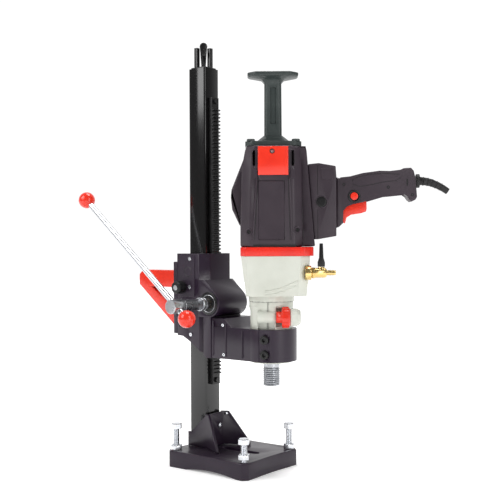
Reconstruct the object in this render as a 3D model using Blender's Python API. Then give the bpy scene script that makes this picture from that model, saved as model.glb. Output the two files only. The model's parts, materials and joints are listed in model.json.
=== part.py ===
"""Core drill rig: a wet core drill motor on a rack-fed column stand.

Sizes and places are in millimetres and become metres when a mesh is made.
World axes: +Z up, +X from the column towards the drill, -Y the side of the feed handle.
The origin is on the floor, in the middle of the column.
The drill has its own frame on the spindle's axis: s to its right, t to its back, z up.
"""
import math

import bmesh
import bpy
from mathutils import Matrix, Vector

MM = 0.001
GAP = 0.3            # clearance between touching pieces
RUN = 0.35           # running clearance between faceted round pieces

# Base and column
BASE_X = (-27.0, 166.0)
BASE_HALF_Y = 83.0
BASE_H = 31.0
BASE_TOP = 9.0       # thickness of the top of the casting
BASE_WALL = 8.0
BASE_CORNER = 9.0
BASE_WAIST = 3.0     # how far each side is hollowed at its middle
BASE_ARCH = 5.0      # height of the arch under the long sides
SLOT_X = (42.0, 132.0)
SLOT_W = 15.0
SCREW_INSET = 14.0   # levelling screws, in from the sides
SCREW_R = 6.0
SCREW_HEAD_R = 10.97
SCREW_HEAD_H = 10.0
SCREW_FOOT_Z = 3.0
SCREW_TOPS = (81.6, 73.3, 80.0, 81.6)
NUT_H = 9.5
NUT_LIFTS = (0.3, 4.6, 0.3, 0.3)    # each nut above the base
TUBE = 42.0          # column, across flats
TUBE_WALL = 3.0
TUBE_CORNER = 4.0
COLUMN_TOP = 763.0
BRACKET_WALL = 5.7
BRACKET_H = 65.0     # height of the foot bracket above the base
GUSSET_T = 5.0
GUSSET_RUN = (47.0, 25.0)
CAP_W = 26.0
CAP_POST = 8.0
CAP_H = 42.0

# Rack and pinion
MODULE = 2.25
PINION_TEETH = 16
PRESSURE = math.radians(20.0)
BACKLASH = 0.5
RACK_W = 20.0
RACK_T = 13.0
RACK_Z = (152.0, 706.0)
RACK_LAND = 18.0     # plain length at each end of the rack
PINION_Z = 311.0
PINION_W = 24.0

# Carriage
CARRIAGE_Z = (208.0, 405.0)
CARRIAGE_HALF_Y = TUBE / 2 + 24.0
CARRIAGE_X = (-TUBE / 2 - 10.0, TUBE / 2 + 19.0)
CARRIAGE_CHAMFER = (15.0, 16.0)
PAD_T = 3.4
FOOT_X = TUBE / 2 + 33.0      # front of the carriage's lower block
FOOT_TOP = 284.0
HOUSING_R = 26.0
HOUSING_Y = (-CARRIAGE_HALF_Y - 1.5, CARRIAGE_HALF_Y - 7.0)
BEARING_R = 21.6
SHAFT_R = 9.0
SHANK_R = 10.7
HUB_R = 13.0
HUB_END_Y = -152.0
TBAR_Y = -136.0
TBAR_R = 5.6
TBAR_TILT = math.radians(40.0)
BALL_R = 16.3
BALL_NEAR = 33.5     # lower ball, from the shaft's axis
BALL_SPAN = 343.0    # between the balls' centres
BACK_PLATE_X = CARRIAGE_X[0] - 10.0
BACK_PLATE_Z = (250.0, 389.0)
KNOB_AT = (-18.0, 340.0)
KNOB_R = 12.5

# Clamp
DRILL_X = 163.0
DRILL_YAW = math.radians(38.0)
NOSE_R = 39.0
RING_R = NOSE_R + 8.0
RING_Z = (209.0, 268.0)
SPLIT = (6.3, 7.1)     # faces of the arm and of the cap, ahead of the drill's axis
CLAMP_SCREW_ANGLE = 68.7
CLAMP_SCREW_Z = (223.3, 250.3)

# Drill
SPINDLE_TIP = 162.0
THREAD_R = 15.875
THREAD_PITCH = 3.63
THREADS = 9
SPINDLE_BORE = 5.0
NOSE_TOP = 318.0
SELECTOR_AT = (-43.0, 291.0)
CASE_Z = (328.7, 401.2)
PLATE_Z = (401.5, 417.7)
MOTOR_Z = (418.0, 600.0)
MOTOR_FRONT = -54.0
SIDE_BLOCK = [(50, 599.5), (62, 599.5), (64.5, 590), (66.5, 567), (77.5, 431), (79, 418.5), (50, 418.5)]
GEAR_MODULE = 1.5
GEAR_TEETH = (12, 24)
LAYSHAFT_T = GEAR_MODULE * sum(GEAR_TEETH) / 2.0
STATOR_R = 43.7
ARMATURE_R = 26.5
VALVE_T = -42.0
VALVE_Z = 371.0
LEVER_S = 89.5
SLEEVE_Z = 538.0
CORD_R = 4.75        # bore of the sleeve that the cord leaves by


# ---------------------------------------------------------------- materials
def make_material(name, colour, roughness, metallic):
    material = bpy.data.materials.new(name)
    material.use_nodes = True
    shader = material.node_tree.nodes["Principled BSDF"]
    shader.inputs["Base Color"].default_value = (*colour, 1.0)
    shader.inputs["Roughness"].default_value = roughness
    shader.inputs["Metallic"].default_value = metallic
    return material


MATERIAL_TABLE = {
    "cast_paint": ((0.045, 0.030, 0.050), 0.45, 0.0),
    "tube_paint": ((0.008, 0.008, 0.008), 0.20, 0.0),
    "black_steel": ((0.015, 0.015, 0.015), 0.40, 0.6),
    "zinc": ((0.80, 0.80, 0.82), 0.30, 1.0),
    "steel": ((0.50, 0.51, 0.52), 0.32, 1.0),
    "chrome": ((0.85, 0.85, 0.86), 0.08, 1.0),
    "red_plastic": ((0.80, 0.02, 0.02), 0.28, 0.0),
    "black_plastic": ((0.012, 0.012, 0.013), 0.40, 0.0),
    "housing_plastic": ((0.075, 0.060, 0.075), 0.50, 0.0),
    "grey_plastic": ((0.075, 0.085, 0.080), 0.50, 0.0),
    "pale_paint": ((0.62, 0.64, 0.58), 0.42, 0.0),
    "brass": ((0.75, 0.55, 0.22), 0.28, 1.0),
    "bronze": ((0.55, 0.36, 0.16), 0.40, 1.0),
    "nylon": ((0.75, 0.74, 0.68), 0.50, 0.0),
    "core_iron": ((0.25, 0.24, 0.24), 0.50, 1.0),
    "rubber": ((0.010, 0.010, 0.010), 0.60, 0.0),
}


# ---------------------------------------------------------------- outlines
def arc(centre, radius, start, end, steps):
    """Points on an arc, angles in degrees."""
    points = []
    for step in range(steps + 1):
        angle = math.radians(start + (end - start) * step / steps)
        points.append((centre[0] + radius * math.cos(angle), centre[1] + radius * math.sin(angle)))
    return points


def rectangle(x, y):
    return [(x[0], y[0]), (x[1], y[0]), (x[1], y[1]), (x[0], y[1])]


def octagon(x, y, corner, back_corner=None):
    """A rectangle with its corners cut; the corners at the high end of x may differ."""
    far = corner if back_corner is None else back_corner
    return [
        (x[0] + corner, y[0]), (x[1] - far, y[0]), (x[1], y[0] + far), (x[1], y[1] - far),
        (x[1] - far, y[1]), (x[0] + corner, y[1]), (x[0], y[1] - corner), (x[0], y[0] + corner),
    ]


def rounded_square(half, radius, steps):
    inner = half - radius
    points = []
    for quarter, (sx, sy) in enumerate(((1, 1), (-1, 1), (-1, -1), (1, -1))):
        start = 90.0 * quarter
        points += arc((sx * inner, sy * inner), radius, start, start + 90.0, steps)
    return points


def gear_outline(teeth, module, turned_by=0.0):
    """An involute gear with three points on each flank; a tooth points along +X."""
    pitch_r = module * teeth / 2.0
    base_r = pitch_r * math.cos(PRESSURE)
    tip_r = pitch_r + 0.85 * module
    root_r = pitch_r - 1.15 * module
    half = math.pi / (2.0 * teeth) - BACKLASH * module / 4.5 / (2.0 * pitch_r)

    def half_angle(radius):
        alpha = math.acos(min(1.0, base_r / radius))
        return half + (math.tan(PRESSURE) - PRESSURE) - (math.tan(alpha) - alpha)

    flank = [(root_r, half_angle(max(root_r, base_r))), (pitch_r, half), (tip_r, half_angle(tip_r))]
    points = []
    for tooth in range(teeth):
        middle = turned_by + 2.0 * math.pi * tooth / teeth
        for radius, angle in flank:
            points.append((radius * math.cos(middle - angle), radius * math.sin(middle - angle)))
        for radius, angle in reversed(flank):
            points.append((radius * math.cos(middle + angle), radius * math.sin(middle + angle)))
    return points


# ---------------------------------------------------------------- solids
class Workshop:
    """Makes mesh objects in the world or in a parent's frame."""

    def __init__(self):
        self.materials = {}
        for name, (colour, roughness, metallic) in MATERIAL_TABLE.items():
            self.materials[name] = make_material(name, colour, roughness, metallic)
        self.cutters = 0

    def finish(self, name, mesh_data, material, at=(0, 0, 0), parent=None, turn=None, smooth=None):
        bmesh.ops.recalc_face_normals(mesh_data, faces=mesh_data.faces)
        bmesh.ops.scale(mesh_data, vec=(MM, MM, MM), verts=mesh_data.verts)
        mesh = bpy.data.meshes.new(name)
        mesh_data.to_mesh(mesh)
        mesh_data.free()
        if smooth:
            mesh.shade_smooth()
            mesh.set_sharp_from_angle(angle=math.radians(smooth))
        if material:
            mesh.materials.append(self.materials[material])
        thing = bpy.data.objects.new(name, mesh)
        bpy.context.scene.collection.objects.link(thing)
        thing.location = Vector(at) * MM
        if turn:
            thing.rotation_euler = turn
        thing.parent = parent
        return thing

    def change(self, thing, operation, cutter):
        """Cuts or joins another solid into a piece."""
        self.cutters += 1
        cutter.name = "tool_%03d" % self.cutters
        cutter.hide_render = True
        cutter.display_type = "WIRE"
        modifier = thing.modifiers.new(operation.lower(), "BOOLEAN")
        modifier.operation = operation
        modifier.solver = "EXACT"
        modifier.object = cutter

    def cut(self, thing, *cutters):
        for cutter in cutters:
            self.change(thing, "DIFFERENCE", cutter)

    def join(self, thing, *others):
        for other in others:
            self.change(thing, "UNION", other)

    def prism(self, name, outline, span, plane="xy", material=None, rim=0.0, rim_steps=1, **place):
        """Extrudes an outline between two heights across its plane."""
        order = {"xy": (0, 1, 2), "xz": (0, 2, 1), "yz": (1, 2, 0)}[plane]
        mesh_data = bmesh.new()
        loops = []
        for height in span:
            loop = []
            for u, v in outline:
                place_at = [0.0, 0.0, 0.0]
                place_at[order[0]], place_at[order[1]], place_at[order[2]] = u, v, height
                loop.append(mesh_data.verts.new(place_at))
            loops.append(loop)
        count = len(outline)
        mesh_data.faces.new(loops[0])
        top = mesh_data.faces.new(loops[1])
        for i in range(count):
            j = (i + 1) % count
            mesh_data.faces.new((loops[0][i], loops[0][j], loops[1][j], loops[1][i]))
        if rim:
            bmesh.ops.bevel(mesh_data, geom=list(top.edges), offset=rim, offset_type="OFFSET",
                            segments=rim_steps, profile=0.5, affect="EDGES", clamp_overlap=True)
        return self.finish(name, mesh_data, material, **place)

    def box(self, name, x, y, z, **options):
        return self.prism(name, rectangle(x, y), z, **options)

    def turned(self, name, profile, sides, axis="z", ring=False, material=None, smooth=40, **place):
        """Revolves (radius, height) points; a ring profile closes on itself."""
        mesh_data = bmesh.new()
        loops = []
        for radius, height in profile:
            if radius == 0.0:
                loops.append([mesh_data.verts.new(self.on_axis(axis, 0.0, 0.0, height))])
                continue
            loop = []
            for side in range(sides):
                angle = 2.0 * math.pi * (side + 0.5) / sides
                u, v = radius * math.cos(angle), radius * math.sin(angle)
                loop.append(mesh_data.verts.new(self.on_axis(axis, u, v, height)))
            loops.append(loop)
        pairs = list(zip(loops, loops[1:]))
        if ring:
            pairs.append((loops[-1], loops[0]))
        for low, high in pairs:
            for i in range(sides):
                j = (i + 1) % sides
                if len(low) == 1:
                    mesh_data.faces.new((low[0], high[j], high[i]))
                elif len(high) == 1:
                    mesh_data.faces.new((low[i], low[j], high[0]))
                else:
                    mesh_data.faces.new((low[i], low[j], high[j], high[i]))
        return self.finish(name, mesh_data, material, smooth=smooth, **place)

    @staticmethod
    def on_axis(axis, u, v, height):
        if axis == "z":
            return (u, v, height)
        if axis == "y":
            return (u, height, v)
        return (height, u, v)

    def rod(self, name, radius, span, sides=16, axis="z", hole=0.0, **options):
        if hole:
            profile = [(hole, span[0]), (radius, span[0]), (radius, span[1]), (hole, span[1])]
            return self.turned(name, profile, sides, axis=axis, ring=True, **options)
        profile = [(0.0, span[0]), (radius, span[0]), (radius, span[1]), (0.0, span[1])]
        return self.turned(name, profile, sides, axis=axis, **options)

    def loft(self, name, sections, material=None, **place):
        """Skins closed sections of equal point count, with flat ends."""
        mesh_data = bmesh.new()
        loops = []
        for section in sections:
            loops.append([mesh_data.verts.new(point) for point in section])
        mesh_data.faces.new(loops[0])
        mesh_data.faces.new(loops[-1])
        count = len(loops[0])
        for low, high in zip(loops, loops[1:]):
            for i in range(count):
                j = (i + 1) % count
                mesh_data.faces.new((low[i], low[j], high[j], high[i]))
        return self.finish(name, mesh_data, material, **place)


def level(outline, z):
    return [(x, y, z) for x, y in outline]


# ---------------------------------------------------------------- stand
def screw_places():
    xs = (BASE_X[0] + SCREW_INSET, BASE_X[1] - SCREW_INSET)
    y = BASE_HALF_Y - SCREW_INSET
    return [(xs[0], -y), (xs[1], -y), (xs[1], y), (xs[0], y)]


def base_outline():
    """Cut corners, with each side hollowed a little along a shallow curve."""
    corner = BASE_CORNER
    x0, x1 = BASE_X
    y0, y1 = -BASE_HALF_Y, BASE_HALF_Y
    corners = [(x0 + corner, y0), (x1 - corner, y0), (x1, y0 + corner), (x1, y1 - corner),
               (x1 - corner, y1), (x0 + corner, y1), (x0, y1 - corner), (x0, y0 + corner)]
    inward = {0: (0, 1), 2: (-1, 0), 4: (0, -1), 6: (1, 0)}
    points = []
    for i, point in enumerate(corners):
        points.append(point)
        if i in inward:
            after = corners[i + 1]
            for step in range(1, 6):
                u = step / 6.0
                depth = BASE_WAIST * math.sin(math.pi * u) ** 2
                points.append((point[0] + (after[0] - point[0]) * u + inward[i][0] * depth,
                               point[1] + (after[1] - point[1]) * u + inward[i][1] * depth))
    return points


def make_base(shop):
    base = shop.prism("base_plate", base_outline(), (0.0, BASE_H), material="cast_paint", rim=2.0)
    edge = BASE_WALL + BASE_WAIST
    x = (BASE_X[0] + edge, BASE_X[1] - edge)
    y = BASE_HALF_Y - edge
    under = BASE_H - BASE_TOP
    block = TUBE / 2 + BRACKET_WALL
    boss = 2 * SCREW_INSET - edge
    # the hollow underside leaves the corner bosses and a block below the column
    shop.cut(base, shop.prism("hollow", octagon((block, x[1]), (-y, y), 1.0, boss), (-1.0, under)))
    for side in (-1, 1):
        pocket = sorted((side * block, side * y))
        shop.cut(base, shop.box("side_hollow", (x[0] + boss, block - 8.0), pocket, (-1.0, under)))
    mid = (block + x[1] + boss) / 2 - boss
    reach = x[1] - boss - mid + 6.0
    arch = [(mid - reach, -2.0), (mid + reach, -2.0)]
    for step in range(11):
        u = 1.0 - step / 5.0
        arch.append((mid + reach * u, BASE_ARCH * (1.0 - u * u) - 0.01))
    shop.cut(base, shop.prism("arch", arch, (-BASE_HALF_Y - 5, BASE_HALF_Y + 5), plane="xz"))
    slot = SLOT_W / 2
    outline = arc((SLOT_X[1] - slot, 0), slot, -90, 90, 6) + arc((SLOT_X[0] + slot, 0), slot, 90, 270, 6)
    shop.cut(base, shop.prism("slot", outline, (-1.0, BASE_H + 1.0)))
    for px, py in screw_places():
        shop.cut(base, shop.rod("screw_hole", SCREW_R + RUN, (-1.0, BASE_H + 1.0), at=(px, py, 0)))
    for i, (px, py) in enumerate(screw_places(), start=1):
        top = SCREW_TOPS[i - 1]
        screw = shop.rod("levelling_screw_%d" % i, SCREW_R, (SCREW_FOOT_Z, top - SCREW_HEAD_H + 0.5),
                         material="zinc", at=(px, py, 0))
        hexagon = arc((0, 0), SCREW_HEAD_R, 0, 300, 5)
        shop.join(screw, shop.prism("head", hexagon, (top - SCREW_HEAD_H, top), rim=1.0,
                                    at=(px, py, 0)))
        low = BASE_H + NUT_LIFTS[i - 1]
        nut = shop.prism("levelling_nut_%d" % i, hexagon, (low, low + NUT_H), material="zinc", rim=1.0,
                         at=(px, py, 0))
        shop.cut(nut, shop.rod("nut_hole", SCREW_R + RUN, (low - 2, low + NUT_H + 2), at=(px, py, 0)))


def make_foot(shop):
    inner = TUBE / 2 + GAP
    outer = inner + BRACKET_WALL
    low, high = BASE_H + GAP, BASE_H + BRACKET_H
    front = inner + 8.0
    outline = [(-TUBE / 2, -outer), (front, -outer), (front, outer), (-TUBE / 2, outer),
               (-TUBE / 2, inner), (inner, inner), (inner, -inner), (-TUBE / 2, -inner)]
    foot = shop.prism("foot_bracket", outline, (low, high), material="cast_paint")
    shop.cut(foot, shop.prism("slope", [(-60, low + 27), (-13, low + 27), (outer, high), (outer, high + 20),
                                        (-60, high + 20)], (-60, 60), plane="xz"))
    run, spread = GUSSET_RUN
    splay = math.atan2(spread, run)
    length = math.hypot(run, spread)
    for side in (-1, 1):
        web = [(-6.0, low), (length, low), (length, low + 4.0), (10.0, high), (-6.0, high)]
        shop.join(foot, shop.prism("gusset", web, (-GUSSET_T / 2, GUSSET_T / 2), plane="xz",
                                   at=(outer, side * (outer - GUSSET_T / 2), 0),
                                   turn=(0, 0, side * splay)))
    bolt_at = (front, 8.0, BASE_H + 40.0)
    shop.cut(foot, shop.rod("bolt_hole", 3.4, (-12.0, 4.0), axis="x", sides=12, at=bolt_at))
    bolt = shop.rod("foot_bolt", 3.0, (GAP + inner - front, GAP + 0.5), axis="x", sides=12, material="zinc",
                    at=bolt_at)
    shop.join(bolt, shop.rod("head", 4.8, (GAP, 3.2), axis="x", sides=16, at=bolt_at))


def make_column(shop):
    half = TUBE / 2
    tube = shop.prism("column_tube", rounded_square(half, TUBE_CORNER, 3), (BASE_H + GAP, COLUMN_TOP),
                      material="tube_paint", smooth=50)
    shop.cut(tube, shop.prism("bore", rounded_square(half - TUBE_WALL, 1.5, 2), (0, COLUMN_TOP + 5)))
    plug = half - TUBE_WALL - GAP
    cap = shop.prism("column_cap", octagon((-plug, plug), (-plug, plug), 1.5),
                     (COLUMN_TOP - 30, COLUMN_TOP + 3), material="black_steel")
    cap_half = CAP_W / 2
    for side in (-1, 1):
        post = sorted((side * cap_half, side * (cap_half - CAP_POST)))
        shop.join(cap, shop.box("post", post, post, (COLUMN_TOP, COLUMN_TOP + CAP_H)))
    tongue = [(-4, COLUMN_TOP + 3.3), (4, COLUMN_TOP + 3.3)] + arc((0, COLUMN_TOP + 45), 7.5, -25, 205, 8)
    lug = shop.prism("cap_lug", tongue, (-3, 3), plane="xz", material="black_steel",
                     turn=(0, 0, math.radians(45)))
    shop.join(lug, shop.rod("bolt", 6.2, (-6.5, -2.0), axis="y", at=(0, 0, COLUMN_TOP + 32.2),
                            turn=(0, 0, math.radians(45))))


def make_rack(shop):
    back = TUBE / 2 + GAP
    tip = TUBE / 2 + RACK_T
    pitch = math.pi * MODULE
    pitch_line = tip - 0.85 * MODULE
    root = pitch_line - 1.15 * MODULE
    half = pitch / 4 - BACKLASH / 2
    slope = math.tan(PRESSURE)
    widths = ((root, half + (pitch_line - root) * slope), (tip, half - (tip - pitch_line) * slope))
    outline = [(back, RACK_Z[0]), (root, RACK_Z[0])]
    first = math.ceil((RACK_Z[0] + RACK_LAND - PINION_Z) / pitch - 0.5)
    last = math.floor((RACK_Z[1] - RACK_LAND - PINION_Z) / pitch - 0.5)
    for tooth in range(first, last + 1):
        middle = PINION_Z + (tooth + 0.5) * pitch
        outline += [(x, middle - width) for x, width in widths]
        outline += [(x, middle + width) for x, width in reversed(widths)]
    outline += [(root, RACK_Z[1]), (back, RACK_Z[1])]
    rack = shop.prism("rack_bar", outline, (-RACK_W / 2, RACK_W / 2), plane="xz", material="black_steel")
    for name, z in (("rack_screw_lower", RACK_Z[0] + 8.0), ("rack_screw_upper", RACK_Z[1] - 8.0)):
        shop.cut(rack, shop.rod("screw_hole", 3.3, (back - 2, tip + 2), axis="x", at=(0, 0, z), sides=12))
        screw = shop.rod(name, 3.0, (back + 0.2, root + GAP + 0.5), axis="x", at=(0, 0, z), sides=12,
                         material="black_steel")
        shop.join(screw, shop.rod("head", 5.0, (root + GAP, root + 4.0), axis="x", at=(0, 0, z), sides=12))


def pinion_x():
    return TUBE / 2 + RACK_T - 0.85 * MODULE + MODULE * PINION_TEETH / 2


# ---------------------------------------------------------------- carriage
def make_carriage(shop):
    x0, x1 = CARRIAGE_X
    half = CARRIAGE_HALF_Y
    cx, cy = CARRIAGE_CHAMFER
    slide = TUBE / 2 + PAD_T + 2 * GAP
    face = TUBE / 2 + 2 * GAP
    channel = RACK_W / 2 + 1.0
    channel_x = TUBE / 2 + RACK_T + 1.0
    outline = [(x0, -half), (x1 - cx, -half), (x1, -half + cy), (x1, half - cy), (x1 - cx, half),
               (x0, half), (x0, slide), (face, slide), (face, channel), (channel_x, channel),
               (channel_x, -channel), (face, -channel), (face, -slide), (x0, -slide)]
    body = shop.prism("carriage_body", outline, CARRIAGE_Z, material="cast_paint")
    bottom, top = CARRIAGE_Z
    axis_x = pinion_x()
    start = face + 2.4
    housing = [(start, PINION_Z + 44), (x1, PINION_Z + 44)]
    housing += arc((axis_x, PINION_Z), HOUSING_R, 48, -90, 9)
    housing += [(start, PINION_Z - HOUSING_R)]
    shop.join(body, shop.prism("housing", housing, HOUSING_Y, plane="xz"),
              shop.box("lower_block", (channel_x + 0.5, FOOT_X), (-half, half), (bottom, FOOT_TOP + 3)))
    shop.cut(body, shop.box("rack_channel", (face - 2, channel_x), (-channel, channel),
                            (bottom - 5, top + 5)))
    shop.cut(body, shop.rod("pinion_bore", BEARING_R, (HOUSING_Y[0] - 5, HOUSING_Y[1] - 5), axis="y",
                            sides=32, at=(axis_x, 0, PINION_Z)))
    under = [(x0 - 5, bottom - 5), (x1 + 3, bottom - 5), (x1 + 2, bottom), (x0 + 33, bottom + 28),
             (x0 + 14, bottom + 38), (x0 - 5, bottom + 39)]
    shop.cut(body, shop.prism("underside", under, (-half - 5, half + 5), plane="xz"))
    for z in (bottom + 42, top - 10):
        shop.cut(body, shop.rod("gib_hole", 3.4, (-half - 2, -slide + 2), axis="y", sides=12, at=(3, 0, z)))
    shop.cut(body, shop.rod("knob_hole", 4.4, (-half - 2, -slide + 2), axis="y", sides=12,
                            at=(KNOB_AT[0], 0, KNOB_AT[1])))
    shop.cut(body, shop.rod("socket_seat", 8.3, (-half - 2, -half + 6), axis="y", sides=16,
                            at=(-2.4, 0, top - 35)))
    shop.cut(body, shop.rod("socket", 3.4, (-half - 2, -half + 12), axis="y", sides=6,
                            at=(-2.4, 0, top - 35)))
    for side, name in ((-1, "slide_pad_front"), (1, "slide_pad_rear")):
        y = sorted((side * (TUBE / 2 + GAP), side * (slide - GAP)))
        pad_z = (bottom + 47, top - 15)
        shop.box(name, (-TUBE / 2 + 3, TUBE / 2 - 3), y, pad_z, material="nylon")


def make_back_plate(shop):
    half = CARRIAGE_HALF_Y
    x = CARRIAGE_X[0] - GAP
    key = TUBE / 2 + PAD_T
    outline = [(BACK_PLATE_X, -half), (x, -half), (x, -key), (-TUBE / 2 - 2 * GAP, -key),
               (-TUBE / 2 - 2 * GAP, key), (x, key), (x, half), (BACK_PLATE_X, half)]
    shop.prism("carriage_back_plate", outline, BACK_PLATE_Z, material="cast_paint")


def make_handle(shop):
    """The red carrying handle: a grip closed by a slanting strap."""
    x = BACK_PLATE_X - GAP
    outer = [(x, 371), (-157, 371), (-168, 362), (-168, 341), (x - 20, 254), (x, 254)]
    handle = shop.prism("carry_handle", outer, (-12, 12), plane="xz", material="red_plastic")
    window = [(x - 9, 337), (-134, 337), (x - 9, 337 - (134 + x - 9) * 0.66)]
    shop.cut(handle, shop.prism("window", window, (-20, 20), plane="xz"))


def make_feed(shop):
    at = (pinion_x(), 0, PINION_Z)
    near, far = HOUSING_Y[0] + 0.5, HOUSING_Y[1] - 5.5
    for name, span in (("bush_front", (near, -PINION_W / 2 - 1.5)), ("bush_rear", (PINION_W / 2 + 1.5, far))):
        shop.rod(name, BEARING_R - RUN, span, sides=32, axis="y", hole=SHAFT_R + RUN, material="bronze",
                 at=at)
    profile = [(0, HUB_END_Y), (HUB_R - 1, HUB_END_Y), (HUB_R, HUB_END_Y + 1), (HUB_R, TBAR_Y + 14),
               (SHANK_R, TBAR_Y + 16), (SHANK_R, near - 12), (SHAFT_R, near - 9), (SHAFT_R, far - 1),
               (0, far - 1)]
    shaft = shop.turned("feed_shaft", profile, 24, axis="y", material="steel", at=at)
    shop.cut(shaft, shop.rod("cross_hole", TBAR_R + RUN, (-30, 30), axis="x", sides=16,
                             at=(at[0], TBAR_Y, at[2]), turn=(0, TBAR_TILT, 0)))
    gear = shop.prism("feed_pinion", gear_outline(PINION_TEETH, MODULE), (-PINION_W / 2, PINION_W / 2),
                      plane="xz", material="steel", at=at)
    shop.cut(gear, shop.rod("gear_bore", SHAFT_R + GAP, (-PINION_W, PINION_W), axis="y", sides=24, at=at))
    bar_at = (at[0], TBAR_Y, at[2])
    turn = (0, TBAR_TILT, 0)
    low, high = BALL_NEAR, BALL_NEAR - BALL_SPAN
    shop.rod("tbar_rod", TBAR_R, (high + BALL_R - 2.0, low - BALL_R + 2.0), axis="x", sides=16,
             material="chrome", at=bar_at, turn=turn)
    for name, centre, flat in (("tbar_ball_lower", low, -1), ("tbar_ball_upper", high, 1)):
        # each ball has a flat and a blind hole for the end of the rod
        start = math.acos(0.92)
        profile = []
        for step in range(9):
            angle = start + (math.pi - start) * step / 8
            radius = 0.0 if step == 8 else BALL_R * math.sin(angle)
            profile.append((radius, centre - flat * -BALL_R * math.cos(angle)))
        profile = [(TBAR_R + GAP, profile[0][1] - flat * 3.5)] + [(TBAR_R + GAP, profile[0][1])] + profile
        profile = [(0.0, profile[0][1])] + profile
        shop.turned(name, profile, 20, axis="x", material="red_plastic", at=bar_at, turn=turn, smooth=50)


def make_lock_knob(shop):
    half = CARRIAGE_HALF_Y
    at = (KNOB_AT[0], 0, KNOB_AT[1])
    lobes = []
    for step in range(24):
        angle = 2 * math.pi * step / 24
        radius = KNOB_R - 1.3 * (1 + math.cos(6 * angle)) / 2
        lobes.append((radius * math.cos(angle), radius * math.sin(angle)))
    knob = shop.prism("lock_knob", lobes, (-half - GAP, -half - 19.0), plane="xz", material="black_plastic",
                      rim=1.5, at=at)
    shop.join(knob, shop.rod("stud", 4.0, (-half - 2.0, -TUBE / 2 - PAD_T - GAP - 0.6), axis="y", sides=12,
                             at=at))


# ---------------------------------------------------------------- clamp
def ring_angle(radius, x):
    return math.degrees(math.acos((x - DRILL_X) / radius))


def make_clamp(shop):
    bore = NOSE_R + GAP
    axis = (DRILL_X, 0)
    low, high = RING_Z
    x0 = FOOT_X + GAP
    side = min(CARRIAGE_HALF_Y - 1.0, RING_R - 3.0)
    arm_face, cap_face = DRILL_X + SPLIT[0], DRILL_X + SPLIT[1]
    join_angle = math.degrees(math.asin(side / RING_R))
    near = ring_angle(RING_R, arm_face)
    inner = ring_angle(bore, arm_face)
    outline = [(x0, side), (x0, -side)]
    outline += arc(axis, RING_R, -(180 - join_angle), -near, 6)
    outline += arc(axis, bore, -inner, -360 + inner, 28)
    outline += arc(axis, RING_R, near, 180 - join_angle, 6)
    arm = shop.prism("clamp_arm", outline, RING_Z, material="cast_paint", smooth=30)
    cheek = [(x0, low + 1), (x0, FOOT_TOP), (85, FOOT_TOP), (105, high - 1), (105, low + 1)]
    shop.join(arm, shop.prism("shoulder", cheek, (-side + 1, side - 1), plane="xz"))
    far = ring_angle(RING_R, cap_face)
    opening = ring_angle(bore, cap_face)
    cap_outline = arc(axis, RING_R, -far, far, 18) + arc(axis, bore, opening, -opening, 18)
    cap = shop.prism("clamp_cap", cap_outline, RING_Z, material="cast_paint", smooth=30)
    number = 0
    seat = RING_R - 3.0
    tail = bore + GAP
    for angle in (-CLAMP_SCREW_ANGLE, CLAMP_SCREW_ANGLE):
        for z in CLAMP_SCREW_Z:
            number += 1
            place = {"axis": "x", "at": (DRILL_X, 0, z), "turn": (0, 0, math.radians(angle))}
            shop.cut(cap, shop.rod("screw_hole", 5.35, (tail - 2, RING_R + 4), sides=12, **place),
                     shop.rod("counterbore", 8.35, (seat, RING_R + 6), sides=20, **place))
            screw = shop.rod("clamp_screw_%d" % number, 5.0, (tail, seat + 1.0), sides=12,
                             material="black_steel", **place)
            shop.join(screw, shop.rod("head", 8.0, (seat + GAP, RING_R + 4.0), sides=20, **place))
            shop.cut(screw, shop.rod("key", 3.6, (RING_R - 0.5, RING_R + 9), sides=6, **place))


# ---------------------------------------------------------------- drill
def make_spindle(shop, drill):
    bore = SPINDLE_BORE
    root = THREAD_R - 2.2
    profile = [(bore, SPINDLE_TIP), (root, SPINDLE_TIP)]
    for turn in range(THREADS):
        z = SPINDLE_TIP + 0.6 + turn * THREAD_PITCH
        profile += [(THREAD_R, z + 1.0), (THREAD_R, z + 1.8), (root, z + THREAD_PITCH - 0.6)]
    collar = SPINDLE_TIP + 0.6 + THREADS * THREAD_PITCH + 2.0
    profile += [(15.0, collar), (15.0, 214.0), (12.0, 215.0), (12.0, 357.0), (bore, 357.0)]
    shop.turned("spindle", profile, 24, ring=True, material="steel", parent=drill)
    shop.rod("spindle_bearing", 23.6, (216.5, 232.0), sides=24, hole=12.0 + RUN, material="steel",
             parent=drill)
    gear = shop.prism("spindle_gear", gear_outline(GEAR_TEETH[1], GEAR_MODULE), (338.0, 351.0),
                      material="steel", parent=drill)
    shop.cut(gear, shop.rod("gear_bore", 12.0 + GAP, (330, 360), sides=24, parent=drill))


def make_nose(shop, drill):
    low = RING_Z[0] - 3.0
    profile = [(17.0, low), (NOSE_R - 1, low), (NOSE_R, low + 1), (NOSE_R, NOSE_TOP - 16),
               (41.0, NOSE_TOP - 11), (41.0, NOSE_TOP), (20.0, NOSE_TOP), (20.0, NOSE_TOP - 18), (24.0, NOSE_TOP - 20),
               (24.0, 215.8), (17.0, 215.8)]
    nose = shop.turned("nose_collar", profile, 32, ring=True, material="pale_paint", parent=drill)
    t, z = SELECTOR_AT
    shop.join(nose, shop.rod("boss", 11.5, (-26.0, 7.0), axis="x", at=(0, t + 8, z), parent=drill))
    shop.cut(nose, shop.rod("relief", 19.4, (7.3, 70.0), axis="x", sides=24, at=(0, t, z), parent=drill))


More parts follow.
